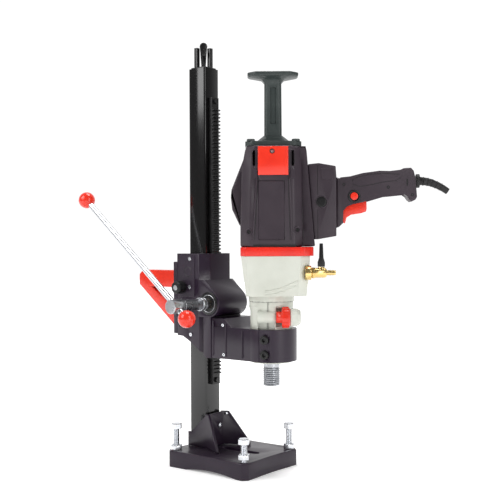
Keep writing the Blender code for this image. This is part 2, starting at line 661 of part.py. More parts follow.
def make_selector(shop, drill):
    t, z = SELECTOR_AT
    ring = [(0, 7.9), (10.3, 7.9), (10.3, 17.6), (18.3, 18.4), (18.3, 31.0), (16.0, 33.0), (0, 33.0)]
    shop.turned("selector_knob", ring, 24, axis="x", material="red_plastic", at=(0, t, z), parent=drill)
    cap = [(0, 33.3), (17.0, 33.3), (17.0, 45.0), (13.0, 52.0), (0, 52.0)]
    shop.turned("selector_cap", cap, 8, axis="x", material="pale_paint", smooth=None, at=(0, t, z),
                parent=drill)


def make_gear_case(shop, drill):
    low, high = CASE_Z
    foot = octagon((-46, 64), (-48, 48), 9, 17)
    head = octagon((-55, 70), (-55, 55), 9, 17)
    case = shop.loft("gear_case", [level(foot, low), level(head, high)], material="pale_paint", parent=drill)
    shop.join(case, shop.rod("neck", 42.0, (NOSE_TOP + GAP, low + 2), sides=32, parent=drill))
    inner_foot = octagon((-41, 58), (-43, 43), 8, 15)
    inner_head = octagon((-50, 64), (-50.5, 50.5), 8, 15)
    shop.cut(case, shop.loft("hollow", [level(inner_foot, low + 4.3), level(inner_head, high + 2)],
                             parent=drill))
    shop.cut(case, shop.rod("spindle_way", 14.0, (NOSE_TOP - 2, low + 12), sides=24, parent=drill))
    at = (0, VALVE_T, VALVE_Z)
    shop.cut(case, shop.rod("union_seat", 13.6, (60.0, 90.0), axis="x", sides=24, at=at, parent=drill))
    plate_low, plate_high = PLATE_Z
    rim = octagon((-56, 76), (-56, 56), 9, 17)
    plate = shop.prism("mid_plate", rim, PLATE_Z, material="red_plastic", rim=1.0, parent=drill)
    shop.cut(plate, shop.rod("pinion_way", 11.2, (plate_low - 2, plate_low + 6), sides=24, parent=drill))
    shop.cut(plate, shop.rod("bearing_seat", 16.3, (plate_low + 2.4, plate_high + 2), sides=24, parent=drill))
    shop.rod("armature_bearing", 15.9, (plate_low + 2.8, plate_low + 12.8), sides=24, hole=6.0 + RUN,
             material="steel", parent=drill)


def make_layshaft(shop, drill):
    at = (0, LAYSHAFT_T, 0)
    small, large = GEAR_TEETH
    shaft = shop.rod("layshaft", 5.0, (334.0, 397.0), sides=16, material="steel", at=at, parent=drill)
    half_tooth = math.pi / small
    shop.join(shaft, shop.prism("small_gear", gear_outline(small, GEAR_MODULE, half_tooth), (337.0, 353.5),
                                at=at, parent=drill))
    half_tooth = math.pi / large
    shop.join(shaft, shop.prism("large_gear", gear_outline(large, GEAR_MODULE, half_tooth), (366.0, 378.0),
                                at=at, parent=drill))


def make_motor(shop, drill):
    profile = [(0, 380.0), (6.0, 380.0), (6.0, 422.0), (38.0, 425.0), (38.0, 429.0), (14.0, 431.0),
               (14.0, 446.0), (ARMATURE_R, 446.0), (ARMATURE_R, 492.0), (10.0, 494.0), (10.0, 499.0),
               (16.0, 499.0), (16.0, 519.0), (6.0, 520.0), (6.0, 545.0), (0, 545.0)]
    armature = shop.turned("armature", profile, 24, material="core_iron", parent=drill)
    shop.join(armature, shop.prism("armature_pinion", gear_outline(GEAR_TEETH[0], GEAR_MODULE),
                                   (364.0, 382.0), parent=drill))
    shop.rod("stator", STATOR_R, (444.0, 494.0), sides=28, hole=ARMATURE_R + 1.0, material="core_iron",
             parent=drill)
    low, high = MOTOR_Z
    front = MOTOR_FRONT
    sections = [((-56, 57), (front, 54), low), ((-56, 57), (front, 54), 456), ((-53, 55), (front, 52), 560),
                ((-47, 52), (front, 48), high - 8), ((-43, 49), (front, 45), high)]
    rings = [level(octagon(x, y, 15.0), z) for x, y, z in sections]
    body = shop.loft("motor_housing", rings, material="housing_plastic", parent=drill)
    fairing = [(-38, 597), (-48, 583), (-72, 523), (-73.5, 508), (-71, 486), (-57, 456), (-38, 450)]
    shop.join(body, shop.prism("fairing", fairing, (-21, 21), plane="xz", parent=drill),
              shop.prism("side_block", SIDE_BLOCK, (-38, 38), plane="xz", parent=drill))
    cavity = [(0, low - 3), (STATOR_R + 0.9, low - 3), (STATOR_R + 0.9, 545), (38.0, 552), (38.0, high - 9),
              (0, high - 9)]
    shop.cut(body, shop.turned("cavity", cavity, 28, parent=drill))
    for s in (-31.0, 38.3):
        slot = shop.box("air_slot", (s - 2.2, s + 2.2), (front - 5, -20), (563, 591), parent=drill)
        shop.cut(body, slot)
    shop.box("front_panel", (-23.9, 30.4), (front - 3.3, front - GAP), (546.6, 598), material="red_plastic",
             parent=drill)


def make_top_handle(shop, drill):
    low = MOTOR_Z[1] + GAP
    top = low + 137.2
    middle = 4.3

    def ring(half_s, half_t, z, corner):
        return level(octagon((middle - half_s, middle + half_s), (-half_t, half_t), corner), z)

    rings = [ring(51, 40, low, 12), ring(51, 40, low + 9, 12), ring(30, 26, low + 10, 8),
             ring(16, 14, low + 22, 4), ring(15.6, 13, top - 19, 4), ring(21, 17, top - 13, 6),
             ring(44, 26, top - 8.5, 14), ring(46.5, 27.5, top - 6.5, 14), ring(46.5, 27.5, top - 1.5, 14),
             ring(44, 25, top, 14)]
    handle = shop.loft("top_handle", rings, material="grey_plastic", parent=drill)
    recess = (middle - 5.5, middle + 5.5)
    shop.cut(handle, shop.box("recess", recess, (-20, -10.5), (low + 42.7, low + 109.7), parent=drill))


def make_switch_box(shop, drill):
    wall = [(66.9, 567.5), (77.9, 431.2), (84, 431.2), (118, 437), (118.5, 500), (118.3, 545), (117, 564),
            (86, 569.5)]
    box = shop.prism("switch_box", wall, (-33, 33), plane="xz", material="housing_plastic", parent=drill)
    hollow = [(50, 562), (50, 436), (84, 436), (113, 441), (113.5, 500), (113.3, 545), (112.5, 559), (86, 564)]
    shop.cut(box, shop.prism("box_hollow", hollow, (-28.5, 28.5), plane="xz", parent=drill))
    shop.cut(box, shop.rod("screw_pocket", 9.5, (-40, -30.5), axis="y", sides=20, at=(91, 0, 499),
                           parent=drill))


def make_grip(shop, drill):
    outline = [(118.9, 545), (127, 541), (144.5, 546), (167.6, 552), (198, 556), (217, 555.5), (237, 554.5),
               (243, 561), (256, 561.5), (261, 556), (264.5, 540), (267, 508), (264, 503), (257, 499.5),
               (252.5, 503), (245.5, 516), (207.5, 509), (178.3, 503.6), (170, 499), (137, 494), (129, 484),
               (132, 461), (124, 453.5), (119.4, 452)]
    pocket_z = (476, 513)
    for name, side in (("grip_half_near", -1), ("grip_half_far", 1)):
        span = (side * 0.15, side * 18.5)
        half = shop.prism(name, outline, span, plane="xz", material="housing_plastic", rim=6.5, rim_steps=2,
                          parent=drill, smooth=50)
        deep = sorted((-side * 1.0, side * 9.0))
        shop.cut(half, shop.box("trigger_pocket", (127.0, 178.5), deep, pocket_z, parent=drill),
                 shop.rod("cable_way", 6.0, (170, 275), axis="x", at=(0, 0, SLEEVE_Z), parent=drill))
        if side < 0:
            shop.cut(half, shop.rod("button_hole", 7.6, (-25, 2), axis="y", at=(151.7, 0, 509.7),
                                    parent=drill))
    trigger = [(129.8, 484), (132, 462), (136, 460), (139, 471), (147, 476), (166, 479), (175, 482), (176, 488),
               (175.5, 504), (133, 504)]
    shop.prism("trigger", trigger, (-8, 8), plane="xz", material="red_plastic", parent=drill)
    shop.rod("lock_button", 7.0, (-21.0, -11.6), axis="y", at=(151.7, 0, 509.7), material="red_plastic",
             parent=drill)


def make_valve(shop, drill):
    at = (0, VALVE_T, VALVE_Z)
    profile = [(2.6, 60.5), (13.0, 60.5), (13.0, 71.0), (9.0, 72.0), (9.0, 96.0), (7.0, 99.0), (2.6, 99.0)]
    body = shop.turned("valve_body", profile, 16, axis="x", ring=True, material="brass", at=at, parent=drill)
    lever_at = (LEVER_S, VALVE_T, VALVE_Z)
    shop.join(body, shop.rod("stem_boss", 6.0, (5.0, 10.5), sides=12, at=lever_at, parent=drill))
    lever = [(-6.5, 11), (6.5, 11), (6.5, 19), (4.0, 27), (3.0, 53), (-3.0, 53), (-4.0, 27), (-6.5, 19)]
    shop.prism("valve_lever", lever, (-3.5, 3.5), plane="xz", material="black_plastic", at=lever_at,
               parent=drill)
    nozzle = [(2.4, 99.4), (4.6, 99.4), (4.6, 104.0), (5.2, 105.0), (4.2, 109.0), (5.0, 110.0), (4.0, 115.5),
              (2.4, 115.5)]
    shop.turned("hose_nozzle", nozzle, 14, axis="x", ring=True, material="brass", at=at, parent=drill)


# ---------------------------------------------------------------- cord
def make_sleeve(shop, drill):
    """A round gland, then a sleeve that tapers and droops towards the cord."""
    start = 267.8
    stations = [(start, SLEEVE_Z, 0.0, 13.0), (start + 5.5, SLEEVE_Z, 0.0, 13.0), (274.5, SLEEVE_Z, 1.0, 7.8),
                (285.0, 537.0, 6.0, 7.4), (296.0, 534.5, 15.0, 7.0), (308.0, 529.5, 23.0, 6.6),
                (318.0, 524.0, 30.0, 6.2), (326.2, 518.4, 34.0, 5.9)]
    sections = []
    for s, z, droop, radius in stations:
        tilt = math.radians(droop)
        section = []
        for side in range(12):
            angle = 2 * math.pi * (side + 0.5) / 12
            across, up = radius * math.cos(angle), radius * math.sin(angle)
            section.append((s + up * math.sin(tilt), across, z + up * math.cos(tilt)))
        sections.append(section)
    sleeve = shop.loft("cord_sleeve", sections, material="rubber", parent=drill, smooth=40)
    mouth = (stations[-1][0], 0, stations[-1][1])
    shop.cut(sleeve, shop.rod("mouth", CORD_R, (-6.0, 4.0), axis="x", sides=12, at=mouth,
                              turn=(0, math.radians(stations[-1][2]), 0), parent=drill))


def main():
    for thing in list(bpy.data.objects):
        bpy.data.objects.remove(thing, do_unlink=True)
    shop = Workshop()
    make_base(shop)
    make_foot(shop)
    make_column(shop)
    make_rack(shop)
    make_carriage(shop)
    make_back_plate(shop)
    make_handle(shop)
    make_feed(shop)
    make_lock_knob(shop)
    make_clamp(shop)
    drill = bpy.data.objects.new("drill_axis", None)
    drill.location = (DRILL_X * MM, 0, 0)
    drill.rotation_euler = (0, 0, DRILL_YAW)
    bpy.context.scene.collection.objects.link(drill)
    make_spindle(shop, drill)
    make_nose(shop, drill)
    make_selector(shop, drill)
    make_gear_case(shop, drill)
    make_layshaft(shop, drill)
    make_motor(shop, drill)
    make_top_handle(shop, drill)
    make_switch_box(shop, drill)
    make_grip(shop, drill)
    make_valve(shop, drill)
    make_sleeve(shop, drill)


main()
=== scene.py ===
"""Looks of the core drill rig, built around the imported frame.

Sizes and places are in millimetres and become metres when a mesh is made.
The drill has its own frame on the spindle's axis: s to its right, t to its back, z up.
"""
import json
import math

import bmesh
import bpy
from mathutils import Matrix, Vector


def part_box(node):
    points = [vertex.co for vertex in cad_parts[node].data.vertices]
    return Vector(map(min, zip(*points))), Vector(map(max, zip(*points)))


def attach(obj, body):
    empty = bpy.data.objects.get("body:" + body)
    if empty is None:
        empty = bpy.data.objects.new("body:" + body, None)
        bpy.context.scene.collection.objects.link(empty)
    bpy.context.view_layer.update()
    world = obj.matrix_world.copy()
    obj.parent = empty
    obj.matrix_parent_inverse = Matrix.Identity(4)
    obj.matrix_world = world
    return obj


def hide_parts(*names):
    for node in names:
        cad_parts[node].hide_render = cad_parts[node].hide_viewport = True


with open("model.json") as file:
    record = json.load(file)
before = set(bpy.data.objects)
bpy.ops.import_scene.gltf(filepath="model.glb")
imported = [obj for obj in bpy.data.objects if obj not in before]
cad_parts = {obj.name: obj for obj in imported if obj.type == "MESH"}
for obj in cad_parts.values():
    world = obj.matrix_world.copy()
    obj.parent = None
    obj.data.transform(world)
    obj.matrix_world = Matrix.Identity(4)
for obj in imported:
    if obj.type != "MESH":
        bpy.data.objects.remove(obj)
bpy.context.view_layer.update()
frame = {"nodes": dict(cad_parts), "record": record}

MM = 0.001
CAMERA_AT = (1.1841, -1.3586, 0.4305)
CAMERA_YAW = math.radians(38.24)
CAMERA_PITCH = math.radians(0.62)
CAMERA_ROLL = math.radians(-0.25)
CAMERA_LENS = 66.24
AMBIENT = 0.22        # brightness of the surroundings behind the camera
SURROUND_STRENGTH = 1.05
FLOOR_GLOW = 0.25     # light given off by the paper under the rig
FLOOR_GLOW_FAR = 0.9
FLOOR_HALF = 6.0      # metres

DRILL_X = 163.0
DRILL_YAW = math.radians(38.0)
DRILL = Matrix.Translation((DRILL_X, 0, 0)) @ Matrix.Rotation(DRILL_YAW, 4, "Z")
WORLD = Matrix.Identity(4)
SHAFT_AT = (50.0875, 0.0, 311.0)
TBAR_AT = (50.0875, -136.0, 311.0)
TBAR_TILT = math.radians(40.0)
TBAR = Matrix.Translation(TBAR_AT) @ Matrix.Rotation(TBAR_TILT, 4, "Y")
HOUSING_FRONT = -54.0
SIDE_Y = -45.0       # near side of the carriage
ARM_Y = -43.0        # near side of the clamp arm's shoulder
BALL_R = 16.05
ARM_SCREW_Y = -44.0      # plane of the small screws on the clamp arm
COVER_Y = -46.3          # plane that the feed shaft's bearing cover is built on
GRIP_FACE_T = -18.5      # plane of the small parts on the pistol grip's near side
BOX_FACE_T = -33.0       # plane of the lines on the switch box's near side
FLANGE_Z = 609.4         # plane that the flange's screw bosses stand on
SLOT_Z, SLOT_HALF = 577.0, 16.0    # band of air slots whose edges stay sharp
HOUSING_CORE_R = 50.0    # edges nearer to the spindle's axis stay sharp
BLOCK_SCREWS = ((-40.8, 445.0), (46.5, 448.0))      # (s, z) of the housing's corner screws
FLANGE_SCREW_S = (-36.5, 45.0)
FLANGE_SCREW_T = (-31.0, 31.0)

MERGE_METRES = 0.00002
FLAT_ANGLE = math.radians(0.8)     # faces that turn by less become one face
EDGE_ANGLE = math.radians(24)      # edges that turn by less are left as they are


# ---------------------------------------------------------------- materials
# colour, second colour, roughness from and to, metallic, grain scale, grain depth, blotch scale, coat
FINISHES = {
    "cast_paint": ((0.0145, 0.0070, 0.0175), (0.0195, 0.0105, 0.0225),
        (0.28, 0.42), 0.0, 900.0, 0.16, 14.0, 0.05),
    "tube_paint": ((0.0020, 0.0018, 0.0020), (0.0030, 0.0027, 0.0028),
        (0.10, 0.18), 0.0, 420.0, 0.03, 9.0, 0.4),
    "black_steel": ((0.0035, 0.0034, 0.0038), (0.008, 0.0075, 0.008),
        (0.26, 0.40), 0.2, 700.0, 0.10, 60.0, 0.0),
    "zinc": ((0.74, 0.75, 0.78), (0.62, 0.64, 0.67),
        (0.20, 0.30), 1.0, 150.0, 0.010, 90.0, 0.0),
    "steel": ((0.50, 0.51, 0.53), (0.38, 0.39, 0.41),
        (0.24, 0.34), 1.0, 160.0, 0.012, 70.0, 0.0),
    "chrome": ((0.50, 0.51, 0.53), (0.45, 0.46, 0.48),
        (0.16, 0.22), 1.0, 60.0, 0.0005, 30.0, 0.0),
    "red_plastic": ((0.74, 0.034, 0.014), (0.66, 0.024, 0.010),
        (0.16, 0.26), 0.0, 400.0, 0.02, 25.0, 0.3),
    "red_paint": ((0.70, 0.022, 0.010), (0.60, 0.016, 0.010),
        (0.24, 0.34), 0.0, 600.0, 0.05, 25.0, 0.15),
    "black_plastic": ((0.0045, 0.0045, 0.005), (0.009, 0.0085, 0.009),
        (0.32, 0.46), 0.0, 1100.0, 0.14, 40.0, 0.0),
    "housing_plastic": ((0.0250, 0.0165, 0.0235), (0.0340, 0.0235, 0.0315),
        (0.38, 0.52), 0.0, 1300.0, 0.22, 18.0, 0.0),
    "grey_plastic": ((0.026, 0.034, 0.033), (0.036, 0.045, 0.043),
        (0.34, 0.46), 0.0, 1200.0, 0.16, 20.0, 0.0),
    "pale_paint": ((0.56, 0.575, 0.515), (0.49, 0.505, 0.445),
        (0.34, 0.46), 0.0, 900.0, 0.20, 16.0, 0.05),
    "brass": ((0.78, 0.58, 0.24), (0.64, 0.46, 0.17),
        (0.18, 0.30), 1.0, 400.0, 0.05, 60.0, 0.0),
    "bronze": ((0.42, 0.28, 0.14), (0.32, 0.21, 0.10),
        (0.34, 0.46), 1.0, 800.0, 0.15, 60.0, 0.0),
    "nylon": ((0.72, 0.71, 0.65), (0.66, 0.65, 0.58),
        (0.44, 0.54), 0.0, 700.0, 0.08, 30.0, 0.0),
    "core_iron": ((0.22, 0.21, 0.21), (0.15, 0.14, 0.14),
        (0.42, 0.56), 1.0, 700.0, 0.20, 40.0, 0.0),
    "rubber": ((0.006, 0.006, 0.007), (0.011, 0.010, 0.011),
        (0.44, 0.58), 0.0, 900.0, 0.14, 30.0, 0.0),
}
GRAIN_METRES = 0.00012
SHEEN = 0.34         # how strongly paint and plastic reflect


def make_finish(name):
    colour, second, rough, metallic, grain, depth, blotch, coat = FINISHES[name]
    material = bpy.data.materials.new("look_" + name)
    material.use_nodes = True
    tree = material.node_tree
    nodes, links = tree.nodes, tree.links
    shader = nodes["Principled BSDF"]
    shader.inputs["Metallic"].default_value = metallic
    shader.inputs["Coat Weight"].default_value = coat
    if not metallic:
        shader.inputs["Specular IOR Level"].default_value = SHEEN
    shader.inputs["Coat Roughness"].default_value = 0.12
    place = nodes.new("ShaderNodeTexCoord")
    blotches = nodes.new("ShaderNodeTexNoise")
    blotches.inputs["Scale"].default_value = blotch
    blotches.inputs["Detail"].default_value = 6.0
    links.new(place.outputs["Object"], blotches.inputs["Vector"])
    ramp = nodes.new("ShaderNodeValToRGB")
    ramp.color_ramp.elements[0].position = 0.35
    ramp.color_ramp.elements[0].color = (*colour, 1.0)
    ramp.color_ramp.elements[1].position = 0.68
    ramp.color_ramp.elements[1].color = (*second, 1.0)
    links.new(blotches.outputs["Fac"], ramp.inputs["Fac"])
    links.new(ramp.outputs["Color"], shader.inputs["Base Color"])
    spread = nodes.new("ShaderNodeMapRange")
    spread.inputs["From Min"].default_value = 0.3
    spread.inputs["From Max"].default_value = 0.7
    spread.inputs["To Min"].default_value = rough[0]
    spread.inputs["To Max"].default_value = rough[1]
    fine = nodes.new("ShaderNodeTexNoise")
    fine.inputs["Scale"].default_value = grain
    fine.inputs["Detail"].default_value = 3.0
    links.new(place.outputs["Object"], fine.inputs["Vector"])
    mix = nodes.new("ShaderNodeMath")
    mix.operation = "MULTIPLY_ADD"
    mix.inputs[1].default_value = 0.5
    links.new(fine.outputs["Fac"], mix.inputs[0])
    half = nodes.new("ShaderNodeMath")
    half.operation = "MULTIPLY"
    half.inputs[1].default_value = 0.5
    links.new(blotches.outputs["Fac"], half.inputs[0])
    links.new(half.outputs[0], mix.inputs[2])
    links.new(mix.outputs[0], spread.inputs["Value"])
    links.new(spread.outputs["Result"], shader.inputs["Roughness"])
    bump = nodes.new("ShaderNodeBump")
    bump.inputs["Strength"].default_value = depth
    bump.inputs["Distance"].default_value = GRAIN_METRES
    links.new(fine.outputs["Fac"], bump.inputs["Height"])
    links.new(bump.outputs["Normal"], shader.inputs["Normal"])
    return material


looks = {name: make_finish(name) for name in FINISHES}
node_slots = {row["node"]: row["material_slot"] for row in frame["record"]["subparts"]}
node_bodies = {node: body
               for body, nodes in frame["record"]["behaviour"]["bodies"].items()
               for node in nodes}


# ---------------------------------------------------------------- pieces
def add_piece(name, mesh_data, slot, body, sharp=35.0):
    """Turns a mesh in world metres into a piece that rides on a body."""
    bmesh.ops.recalc_face_normals(mesh_data, faces=mesh_data.faces)
    mesh = bpy.data.meshes.new(name)
    mesh_data.to_mesh(mesh)
    mesh_data.free()
    mesh.materials.append(looks[slot])
    mesh.shade_smooth()
    mesh.set_sharp_from_angle(angle=math.radians(sharp))
    piece = bpy.data.objects.new(name, mesh)
    bpy.context.scene.collection.objects.link(piece)
    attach(piece, body)
    return piece


def rounded(node, width, segments=2, least=0.0, chosen=None, clamp=True):
    """Replaces a node by a copy of its shape with rounded edges, or by its plain shape at width 0."""
    source = frame["nodes"][node]
    mesh_data = bmesh.new()
    mesh_data.from_mesh(source.data)
    mesh_data.transform(source.matrix_world)
    bmesh.ops.remove_doubles(mesh_data, verts=mesh_data.verts, dist=MERGE_METRES)
    bmesh.ops.dissolve_limit(mesh_data, angle_limit=FLAT_ANGLE, verts=mesh_data.verts,
                             edges=mesh_data.edges)
    edges = []
    for edge in mesh_data.edges:
        if not edge.is_manifold or edge.calc_face_angle_signed(0.0) < EDGE_ANGLE:
            continue
        middle = (edge.verts[0].co + edge.verts[1].co) / 2 / MM
        if edge.calc_length() / MM < least or (chosen and not chosen(middle)):
            continue
        edges.append(edge)
    if width:
        bmesh.ops.bevel(mesh_data, geom=edges, offset=width * MM, offset_type="OFFSET",
                        segments=segments, profile=0.5, affect="EDGES", clamp_overlap=clamp)
    piece = add_piece(node + "_shape", mesh_data, node_slots[node], node_bodies[node])
    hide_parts(node)
    return piece


def add_loops(mesh_data, loops, closed):
    """Skins rings of points; a ring of one point closes to a tip."""
    made = [[mesh_data.verts.new(point) for point in loop] for loop in loops]
    pairs = list(zip(made, made[1:]))
    if closed:
        pairs.append((made[-1], made[0]))
    for low, high in pairs:
        count = max(len(low), len(high))
        for i in range(count):
            j = (i + 1) % count
            if len(low) == 1:
                mesh_data.faces.new((low[0], high[j], high[i]))
            elif len(high) == 1:
                mesh_data.faces.new((low[i], low[j], high[0]))
            else:
                mesh_data.faces.new((low[i], low[j], high[j], high[i]))
    return made


def axis_frame(at, direction):
    turn = Vector(direction).normalized().to_track_quat("Z", "Y").to_matrix().to_4x4()
    return Matrix.Translation(at) @ turn


def turned(mesh_data, profile, at, direction, space=WORLD, sides=32, closed=False):
    """Revolves (radius, height) points about an axis through a place."""
    matrix = Matrix.Scale(MM, 4) @ space @ axis_frame(at, direction)
    loops = []
    for radius, height in profile:
        if radius == 0.0:
            loops.append([matrix @ Vector((0, 0, height))])
            continue
        loop = []
        for side in range(sides):
            angle = 2 * math.pi * side / sides
            point = Vector((radius * math.cos(angle), radius * math.sin(angle), height))
            loop.append(matrix @ point)
        loops.append(loop)
    add_loops(mesh_data, loops, closed)


def plate(mesh_data, outline, span, plane, space=WORLD, edge=0.4):
    """A plate with a bevelled far side; the outline lies in the named plane."""
    order = {"xy": (0, 1, 2), "xz": (0, 2, 1), "yz": (1, 2, 0)}[plane]
    matrix = Matrix.Scale(MM, 4) @ space
    middle = [sum(point[k] for point in outline) / len(outline) for k in (0, 1)]
    step = 1.0 if span[1] > span[0] else -1.0
    loops = []
    for shrink, height in ((0.0, span[0]), (0.0, span[1] - step * edge), (edge, span[1])):
        loop = []
        for u, v in outline:
            du, dv = u - middle[0], v - middle[1]
            long = math.hypot(du, dv) or 1.0
            place = [0.0, 0.0, 0.0]
            place[order[0]] = u - du / long * shrink
            place[order[1]] = v - dv / long * shrink
            place[order[2]] = height
            loop.append(matrix @ Vector(place))
        loops.append(loop)
    made = add_loops(mesh_data, loops, False)
    mesh_data.faces.new(made[0])
    mesh_data.faces.new(made[-1])


def bead(mesh_data, path, radius, space=WORLD, closed=False, sides=8):
    """A round bead along straight stretches between points."""
    points = [space @ Vector(point) for point in path]
    count = len(points)
    loops = []
    for i, point in enumerate(points):
        before = points[i - 1] if (i or closed) else point
        after = points[(i + 1) % count] if (i < count - 1 or closed) else point
        along = (after - before).normalized()
        turn = along.to_track_quat("Z", "Y").to_matrix()
        loop = []
        for side in range(sides):
            angle = 2 * math.pi * side / sides
            offset = turn @ Vector((radius * math.cos(angle), radius * math.sin(angle), 0))
            loop.append((point + offset) * MM)
        loops.append(loop)
    made = add_loops(mesh_data, loops, closed)
    if not closed:
        mesh_data.faces.new(made[0])
        mesh_data.faces.new(made[-1])


def ring(mesh_data, radius, thick, at, direction, space=WORLD, sides=40):
    """A round ring about an axis."""
    profile = []
    for step in range(8):
        angle = 2 * math.pi * step / 8
        profile.append((radius + thick * math.cos(angle), thick * math.sin(angle)))
    turned(mesh_data, profile, at, direction, space, sides, closed=True)


def screw_head(mesh_data, radius, at, direction, space=WORLD, height=1.6, socket=0.45):
    """A round head with a round socket sunk in its face."""
    inner = radius * socket
    profile = [(0.0, -1.0), (radius, -1.0), (radius, height - 0.4), (radius - 0.4, height),
               (inner, height), (inner * 0.96, height - 1.3), (0.0, height - 1.5)]
    turned(mesh_data, profile, at, direction, space, 24)


def arc(centre, radius, start, end, steps):
    points = []
    for step in range(steps + 1):
        angle = math.radians(start + (end - start) * step / steps)
        points.append((centre[0] + radius * math.cos(angle), centre[1] + radius * math.sin(angle)))
    return points


def round_box(x, z, radius):
    points = []
    corners = ((x[1] - radius, z[1] - radius, 0), (x[0] + radius, z[1] - radius, 90),
               (x[0] + radius, z[0] + radius, 180), (x[1] - radius, z[0] + radius, 270))
    for cx, cz, start in corners:
        points += arc((cx, cz), radius, start, start + 90, 4)
    return points


def hexagon(mesh_data, profile, matrix):
    """A hexagonal prism through (radius, height) points; a radius of 0 closes it to a tip."""
    loops = []
    for radius, height in profile:
        if radius == 0.0:
            loops.append([matrix @ Vector((0, 0, height))])
        else:
            loops.append([matrix @ Vector((x, y, height)) for x, y in arc((0, 0), radius, 0, 300, 5)])
    made = add_loops(mesh_data, loops, False)
    mesh_data.faces.new(made[0])
    if len(made[-1]) > 1:
        mesh_data.faces.new(made[-1])


# ---------------------------------------------------------------- base, column and carriage
def make_stand_details():
    for i in range(1, 5):
        low, high = ([value / MM for value in corner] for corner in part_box("levelling_screw_%d" % i))
        x, y = (low[0] + high[0]) / 2, (low[1] + high[1]) / 2
        z0, top = low[2], high[2]
        data = bmesh.new()
        profile = [(0.0, z0), (4.6, z0)]
        z = z0 + 1.0
        while z < top - 11.5:
            profile += [(5.95, z + 0.35), (5.95, z + 0.6), (5.05, z + 1.3)]
            z += 1.75
        profile += [(5.6, top - 10.6), (5.6, top - 9.0), (0.0, top - 9.0)]
        turned(data, profile, (x, y, 0), (0, 0, 1), sides=28)
        # hexagon head, chamfered round its top
        head = [(10.9, top - 10.0), (10.9, top - 1.2), (9.6, top), (0.0, top - 0.05)]
        hexagon(data, head, Matrix.Scale(MM, 4) @ Matrix.Translation((x, y, 0)))
        ring(data, 8.3, 0.35, (x, y, top - 0.35), (0, 0, 1))
        piece = add_piece("levelling_screw_shape_%d" % i, data, "zinc", "levelling_%d" % i)
        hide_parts("levelling_screw_%d" % i)
        rounded("levelling_nut_%d" % i, 0.7, 2)
    data = bmesh.new()
    for x, y, z in ((30.0, -23.5, 90.0), (35.0, 24.0, 92.0)):
        turned(data, [(0, -1), (2.6, -1), (2.6, 0.9), (1.8, 1.5), (0, 1.5)], (x, y, z),
               (0.66, -0.75, 0.0), sides=20)
    add_piece("gusset_rivets", data, "zinc", "stand")


def make_carriage_details():
    data = bmesh.new()
    for x, z, radius in (((-27.0, 14.0), (322.0, 402.0), 3.0), ((-27.0, -7.0), (262.0, 300.0), 2.5)):
        plate(data, round_box(x, z, radius), (SIDE_Y + 0.3, SIDE_Y - 0.8), "xz", edge=0.6)
    add_piece("carriage_lands", data, "cast_paint", "carriage")
    data = bmesh.new()
    for x, z in (((57.0, 60.5), (213.0, 280.0)), ((88.0, 91.0), (213.0, 276.0))):
        plate(data, round_box(x, z, 1.2), (ARM_Y, ARM_Y - 1.6), "xz", edge=0.6)
    plate(data, round_box((128.0, 130.4), (213.0, 264.0), 1.0), (-43.6, -44.9), "xz", edge=0.5)
    add_piece("arm_ribs", data, "cast_paint", "carriage")
    data = bmesh.new()
    for x, z in ((2.8, 395.0), (1.6, 341.0), (4.4, 250.0)):
        screw_head(data, 3.6, (x, SIDE_Y - 0.8, z), (0, -1, 0), height=1.4)
    for x, z in ((83.0, 272.0), (85.0, 217.0)):
        screw_head(data, 3.1, (x, ARM_SCREW_Y, z), (0, -1, 0), height=1.2)
    add_piece("carriage_screws", data, "zinc", "carriage")
    data = bmesh.new()
    ring(data, 8.9, 1.0, (-2.4, SIDE_Y, 370.0), (0, -1, 0))
    x, _, z = SHAFT_AT
    profile = [(9.5, 0.2), (21.4, 0.2), (21.4, -0.9), (19.6, -1.4), (13.2, -1.4), (12.6, -0.5),
               (9.5, -0.5)]
    turned(data, profile, (x, COVER_Y, z), (0, 1, 0), sides=48, closed=True)
    add_piece("bearing_cover", data, "black_steel", "carriage", sharp=30)
    data = bmesh.new()
    ring(data, 16.2, 0.5, (x, COVER_Y - 1.4, z), (0, 1, 0), sides=48)
    add_piece("bearing_rings", data, "steel", "carriage")
    data = bmesh.new()
    knob_x, knob_z = -18.0, 340.0
    profile = [(0, -0.4), (5.2, -0.4), (5.2, 0.8), (4.4, 1.5), (2.4, 1.5), (2.0, 0.7), (0, 0.7)]
    turned(data, profile, (knob_x, -64.0, knob_z), (0, -1, 0), sides=28)
    add_piece("knob_centre", data, "chrome", "knob")


def make_feed_details():
    x, _, z = TBAR_AT
    data = bmesh.new()
    turned(data, [(0, 0), (11.0, 0), (12.2, 1.0), (12.2, 3.4), (10.8, 3.6), (0, 3.6)],
           (x, -152.0, z), (0, 1, 0), sides=40)
    for y in (-62.0, -120.0):
        ring(data, 10.9, 0.7, (x, y, z), (0, 1, 0))
    turned(data, [(10.8, -3.0), (12.6, -3.0), (13.0, -2.4), (13.0, 2.4), (12.6, 3.0), (10.8, 3.0)],
           (x, -70.0, z), (0, 1, 0), sides=40, closed=True)
    add_piece("shaft_collar", data, "steel", "feed")
    for name, along in (("tbar_ball_lower", 33.5), ("tbar_ball_upper", 33.5 - 343.0)):
        data = bmesh.new()
        profile = [(0.0, -15.3), (5.6, -15.3)]
        for step in range(1, 17):
            angle = math.radians(160.0 - 160.0 * step / 16)
            profile.append((BALL_R * math.sin(angle), BALL_R * math.cos(angle)))
        profile[-1] = (0.0, BALL_R)
        out = 1 if along > 0 else -1
        turned(data, profile, (along, 0, 0), (out, 0, 0), TBAR, 40)
        piece = add_piece(name + "_shape", data, "red_plastic", "tbar", sharp=60)
        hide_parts(name)


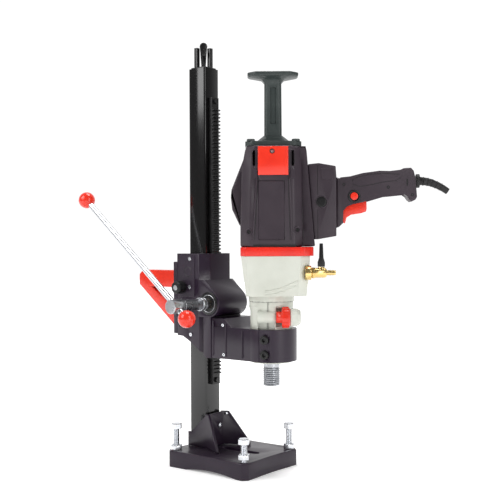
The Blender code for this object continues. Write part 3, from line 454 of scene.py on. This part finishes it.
# ---------------------------------------------------------------- drill
def make_housing_details():
    front = HOUSING_FRONT
    data = bmesh.new()
    plate(data, round_box((-23.0, 23.0), (431.0, 536.0), 3.0), (front + 0.5, front - 1.3), "xz",
          DRILL, edge=0.9)
    for side in (-1, 1):
        top, low = side * 29.5 + 3.0, side * 35.0 + 1.5
        bead(data, [(low, front, 431.0), (top, front, 540.0), (top, front, 556.0)], 1.7, DRILL)
    for s in (-31.0, 38.3):
        plate(data, round_box((s - 4.4, s + 4.4), (540.0, 558.5), 2.0), (front + 0.5, front - 0.9),
              "xz", DRILL)
    for s, z in BLOCK_SCREWS:
        turned(data, [(3.4, -1.0), (6.6, -1.0), (6.6, 1.6), (5.8, 2.4), (3.8, 2.4), (3.4, 1.0)],
               (s, front + 1.5, z), (0, -1, 0), DRILL, 28, closed=True)
    add_piece("housing_details", data, "housing_plastic", "carriage")
    data = bmesh.new()
    for s, z in BLOCK_SCREWS:
        screw_head(data, 3.3, (s, front + 0.6, z), (0, -1, 0), DRILL, height=1.0)
    # parting line down the motor's side and the seam of the switch box's block
    bead(data, [(57.3, -38.0, 433.0), (52.6, -38.0, 590.0)], 0.7, DRILL)
    for side in (-1, 1):
        top, low = side * 26.8 + 3.0, side * 31.8 + 1.5
        line = [(low, 431.0), (top, 540.0), (top, 545.0)]
        bead(data, [(s, front + 0.25, z) for s, z in line], 0.6, DRILL)
    frame_line = [(-22.8, 430.5), (23.2, 430.5), (23.2, 536.6), (-22.8, 536.6)]
    bead(data, [(s, front + 0.2, z) for s, z in frame_line], 0.6, DRILL, closed=True)
    for s in (-34.5, -27.5, 34.8, 41.8):
        plate(data, round_box((s - 0.45, s + 0.45), (566.0, 588.0), 0.4), (front + 0.4, front - 0.35),
              "xz", DRILL, 0.15)
    plate(data, round_box((-33.0, 44.0), (418.4, 422.2), 0.8), (front + 0.4, front - 0.4),
          "xz", DRILL, 0.2)
    add_piece("housing_dark_parts", data, "black_plastic", "carriage")
    data = bmesh.new()
    ring(data, 3.6, 0.8, (1.6, front - 3.5, 589.0), (0, -1, 0), DRILL)
    add_piece("panel_ring", data, "black_plastic", "carriage")
    data = bmesh.new()
    screw_head(data, 2.5, (1.6, front - 3.6, 589.0), (0, -1, 0), DRILL, height=0.7)
    for s in FLANGE_SCREW_S:
        for t in FLANGE_SCREW_T:
            screw_head(data, 4.2, (s, t, FLANGE_Z + 0.2), (0, 0, 1), DRILL, height=3.4)
    add_piece("motor_screws", data, "zinc", "carriage")
    data = bmesh.new()
    for s in FLANGE_SCREW_S:
        turned(data, [(4.4, 0.0), (7.4, 0.0), (7.4, 3.0), (6.6, 3.8), (4.4, 3.8)],
               (s, FLANGE_SCREW_T[0], FLANGE_Z), (0, 0, 1), DRILL, 28, closed=True)
    add_piece("flange_bosses", data, "grey_plastic", "carriage")


def case_face_t(z):
    """Where the gear case's leaning front face is at a height."""
    return -48.0 - 7.0 * (z - 328.7) / 72.5


def make_case_details():
    """Slanting ribs and parting lines on the gear case and its neck."""
    data = bmesh.new()
    for lift in (0.0, 7.0):
        path = []
        for step in range(9):
            u = step / 8.0
            s, z = -12.0 + 59.0 * u, 331.0 + lift + 19.0 * u ** 1.6
            path.append((s, case_face_t(z) + 0.15, z))
        bead(data, path, 1.5 if lift else 1.0, DRILL)
    for z, radius in ((302.0, 39.1), (309.0, 40.9)):
        ring(data, radius, 0.5, (0, 0, z), (0, 0, 1), DRILL, 64)
    add_piece("case_ribs", data, "pale_paint", "carriage")
    data = bmesh.new()
    plate(data, round_box((-7.4, -6.6), (269.0, 317.5), 0.3), (-38.2, -40.9), "xz", DRILL, 0.1)
    ring(data, 41.6, 0.35, (0, 0, 318.3), (0, 0, 1), DRILL, 64)
    add_piece("neck_lines", data, "black_plastic", "carriage")


def make_selector_ribs(count=14, radius=18.2):
    t0, z0 = -43.0, 291.0
    data = bmesh.new()
    for step in range(count):
        angle = 2 * math.pi * step / count
        t, z = t0 + radius * math.cos(angle), z0 + radius * math.sin(angle)
        bead(data, [(19.5, t, z), (30.2, t, z)], 0.9, DRILL)
    add_piece("selector_ribs", data, "red_plastic", "selector")


def make_box_details():
    """Pocket, screw ring and parting lines of the switch box."""
    s0, z0 = 91.0, 499.0
    data = bmesh.new()
    profile = [(0, -0.5), (9.3, -0.5), (9.3, 1.2), (6.6, 1.6), (6.0, 0.6), (3.4, 0.6), (3.0, 0.0),
               (0, 0.0)]
    turned(data, profile, (s0, -30.8, z0), (0, -1, 0), DRILL, 32)
    for low, high in ((433.0, 486.0), (512.0, 566.0)):
        bead(data, [(84.2, BOX_FACE_T, low), (84.2, BOX_FACE_T, high)], 0.45, DRILL)
    add_piece("box_pocket", data, "black_plastic", "carriage")
    data = bmesh.new()
    ring(data, 10.6, 0.9, (s0, BOX_FACE_T, z0), (0, -1, 0), DRILL)
    plate(data, round_box((90.0, 112.0), (540.0, 560.0), 3.0), (BOX_FACE_T + 0.5, BOX_FACE_T - 0.8),
          "xz", DRILL, 0.7)
    add_piece("box_details", data, "housing_plastic", "carriage")


def make_grip_details():
    """Outline of the soft pad, ring round the lock button, vent and screws."""
    data = bmesh.new()
    pad = [(148.0, 539.0), (160.0, 545.0), (180.0, 549.5), (205.0, 551.0), (232.0, 549.5),
           (236.0, 543.0), (228.0, 537.5), (205.0, 535.5), (180.0, 530.0), (162.0, 527.5),
           (150.0, 531.0)]
    bead(data, [(s, GRIP_FACE_T + 0.2, z) for s, z in pad], 0.6, DRILL, closed=True)
    ring(data, 9.9, 1.8, (151.7, -18.6, 509.7), (0, -1, 0), DRILL)
    add_piece("grip_pad_line", data, "black_plastic", "carriage")
    data = bmesh.new()
    plate(data, round_box((247.4, 250.0), (528.0, 541.0), 1.2), (-18.2, -18.75), "xz", DRILL, 0.15)
    for s, z in ((133.0, 531.0), (214.0, 526.0), (258.0, 512.0)):
        turned(data, [(0, 0.3), (2.9, 0.3), (2.9, -0.25), (1.4, -0.25), (1.2, 0.1), (0, 0.1)],
               (s, GRIP_FACE_T, z), (0, 1, 0), DRILL, 24)
    add_piece("grip_dark_parts", data, "black_plastic", "carriage")


def make_sleeve_ribs():
    data = bmesh.new()
    for s, z, tilt, radius in ((281.0, 537.3, 4, 7.55), (289.0, 536.2, 9, 7.3),
                               (297.0, 534.1, 16, 6.95), (305.0, 530.9, 21, 6.65),
                               (313.0, 526.9, 26, 6.35)):
        lean = math.radians(tilt)
        ring(data, radius + 0.1, 0.7, (s, 0, z), (math.cos(lean), 0, -math.sin(lean)), DRILL, 28)
    add_piece("sleeve_ribs", data, "rubber", "carriage")


def make_valve_union(start=72.5, end=77.5, radius=11.2, chamfer=0.8):
    data = bmesh.new()
    profile = [(radius - chamfer, start), (radius, start + chamfer), (radius, end - chamfer),
               (radius - chamfer, end)]
    hexagon(data, profile, Matrix.Scale(MM, 4) @ DRILL @ axis_frame((0, -42.0, 371.0), (1, 0, 0)))
    add_piece("valve_union", data, "brass", "carriage")


# ---------------------------------------------------------------- light and camera
def make_camera():
    data = bpy.data.cameras.new("camera")
    data.sensor_width = 36.0
    data.lens = CAMERA_LENS
    data.clip_start, data.clip_end = 0.01, 50.0
    camera = bpy.data.objects.new("camera", data)
    bpy.context.scene.collection.objects.link(camera)
    forward = Vector((-math.sin(CAMERA_YAW), math.cos(CAMERA_YAW), -math.tan(CAMERA_PITCH)))
    turn = forward.to_track_quat("-Z", "Y") @ Matrix.Rotation(CAMERA_ROLL, 3, "Z").to_quaternion()
    camera.rotation_mode = "QUATERNION"
    camera.rotation_quaternion = turn
    camera.location = CAMERA_AT
    bpy.context.scene.camera = camera


def make_lamp(name, place, target, size, power):
    data = bpy.data.lights.new(name, "AREA")
    data.shape = "RECTANGLE"
    data.size, data.size_y = size
    data.energy = power
    lamp = bpy.data.objects.new(name, data)
    bpy.context.scene.collection.objects.link(lamp)
    lamp.location = place
    lamp.rotation_euler = (Vector(target) - Vector(place)).to_track_quat("-Z", "Y").to_euler()


def make_world():
    """White behind the rig as the camera sees it, and dimmer elsewhere for metal to reflect."""
    world = bpy.data.worlds.new("world")
    world.use_nodes = True
    tree = world.node_tree
    nodes, links = tree.nodes, tree.links
    back = nodes["Background"]
    place = nodes.new("ShaderNodeTexCoord")
    along = nodes.new("ShaderNodeVectorMath")
    along.operation = "DOT_PRODUCT"
    along.inputs[1].default_value = (-math.sin(CAMERA_YAW), math.cos(CAMERA_YAW), 0.0)
    links.new(place.outputs["Generated"], along.inputs[0])
    ramp = nodes.new("ShaderNodeValToRGB")
    ramp.color_ramp.interpolation = "EASE"
    ramp.color_ramp.elements[0].position = 0.0
    ramp.color_ramp.elements[0].color = (AMBIENT, AMBIENT, AMBIENT, 1.0)
    ramp.color_ramp.elements[1].position = 0.86
    ramp.color_ramp.elements[1].color = (1.0, 1.0, 1.0, 1.0)
    links.new(along.outputs["Value"], ramp.inputs["Fac"])
    links.new(ramp.outputs["Color"], back.inputs["Color"])
    back.inputs["Strength"].default_value = SURROUND_STRENGTH
    bpy.context.scene.world = world


def make_stage():
    mesh = bpy.data.meshes.new("floor")
    half = FLOOR_HALF
    mesh.from_pydata([(-half, -half, 0), (half, -half, 0), (half, half, 0), (-half, half, 0)], [],
                     [(0, 1, 2, 3)])
    floor = bpy.data.objects.new("floor", mesh)
    bpy.context.scene.collection.objects.link(floor)
    material = bpy.data.materials.new("floor_paper")
    material.use_nodes = True
    nodes, links = material.node_tree.nodes, material.node_tree.links
    shader = nodes["Principled BSDF"]
    shader.inputs["Base Color"].default_value = (0.93, 0.93, 0.93, 1)
    shader.inputs["Roughness"].default_value = 0.9
    shader.inputs["Emission Color"].default_value = (1, 1, 1, 1)
    # paper that is bright far from the rig, so that it runs into the white behind it
    place = nodes.new("ShaderNodeTexCoord")
    length = nodes.new("ShaderNodeVectorMath")
    length.operation = "LENGTH"
    links.new(place.outputs["Object"], length.inputs[0])
    spread = nodes.new("ShaderNodeMapRange")
    spread.interpolation_type = "SMOOTHSTEP"
    spread.inputs["From Min"].default_value = 0.25
    spread.inputs["From Max"].default_value = 1.6
    spread.inputs["To Min"].default_value = FLOOR_GLOW
    spread.inputs["To Max"].default_value = FLOOR_GLOW_FAR
    links.new(length.outputs["Value"], spread.inputs["Value"])
    links.new(spread.outputs["Result"], shader.inputs["Emission Strength"])
    mesh.materials.append(material)
    make_world()
    make_lamp("key", (-0.8, -1.9, 1.7), (0.1, 0, 0.4), (1.3, 1.6), 36.0)
    make_lamp("fill", (2.1, -0.4, 1.0), (0.15, 0, 0.45), (0.7, 1.8), 18.0)
    make_lamp("top", (0.1, 0.2, 2.2), (0.1, 0, 0.3), (1.2, 0.8), 26.0)


# node, width of its rounded edges, segments; width 0 keeps the node's plain shape
ROUNDED = (
    ("base_plate", 2.2, 3), ("foot_bracket", 1.2, 2), ("carriage_body", 1.0, 2),
    ("carriage_back_plate", 1.2, 2), ("clamp_arm", 1.2, 2), ("clamp_cap", 0.25, 1),
    ("gear_case", 2.2, 3), ("mid_plate", 0.8, 2), ("switch_box", 1.6, 3), ("top_handle", 0.9, 2),
    ("column_cap", 0.8, 2), ("cap_lug", 0.4, 2), ("selector_cap", 1.4, 3), ("trigger", 1.4, 3),
    ("valve_lever", 1.0, 2), ("front_panel", 0.9, 2), ("carry_handle", 3.6, 4),
    ("lock_button", 0.8, 3), ("foot_bolt", 0.6, 2), ("tbar_rod", 0.0, 0), ("feed_shaft", 0.0, 0),
    ("nose_collar", 0.5, 2), ("valve_body", 0.3, 2), ("hose_nozzle", 0.0, 0),
    ("selector_knob", 0.6, 2), ("lock_knob", 0.4, 1), ("column_tube", 0.0, 0),
    ("cord_sleeve", 0.0, 0), ("grip_half_near", 0.0, 0), ("grip_half_far", 0.0, 0),
    ("clamp_screw_1", 0.4, 2), ("clamp_screw_2", 0.4, 2), ("clamp_screw_3", 0.4, 2),
    ("clamp_screw_4", 0.4, 2),
)

# the default view transform washes out the whites
bpy.context.scene.view_settings.view_transform = "Standard"
make_camera()
make_stage()
for node, shape in frame["nodes"].items():
    shape.data.materials.clear()
    shape.data.materials.append(looks[node_slots[node]])
for node, width, segments in ROUNDED:
    rounded(node, width, segments)
rounded("motor_housing", 3.2, 3, least=20.0, clamp=False,
        chosen=lambda p: (abs(p.z - SLOT_Z) > SLOT_HALF
                          and Vector((p.x - DRILL_X, p.y)).length > HOUSING_CORE_R))
make_stand_details()
make_carriage_details()
make_feed_details()
make_housing_details()
make_case_details()
make_selector_ribs()
make_box_details()
make_grip_details()
make_sleeve_ribs()
make_valve_union()
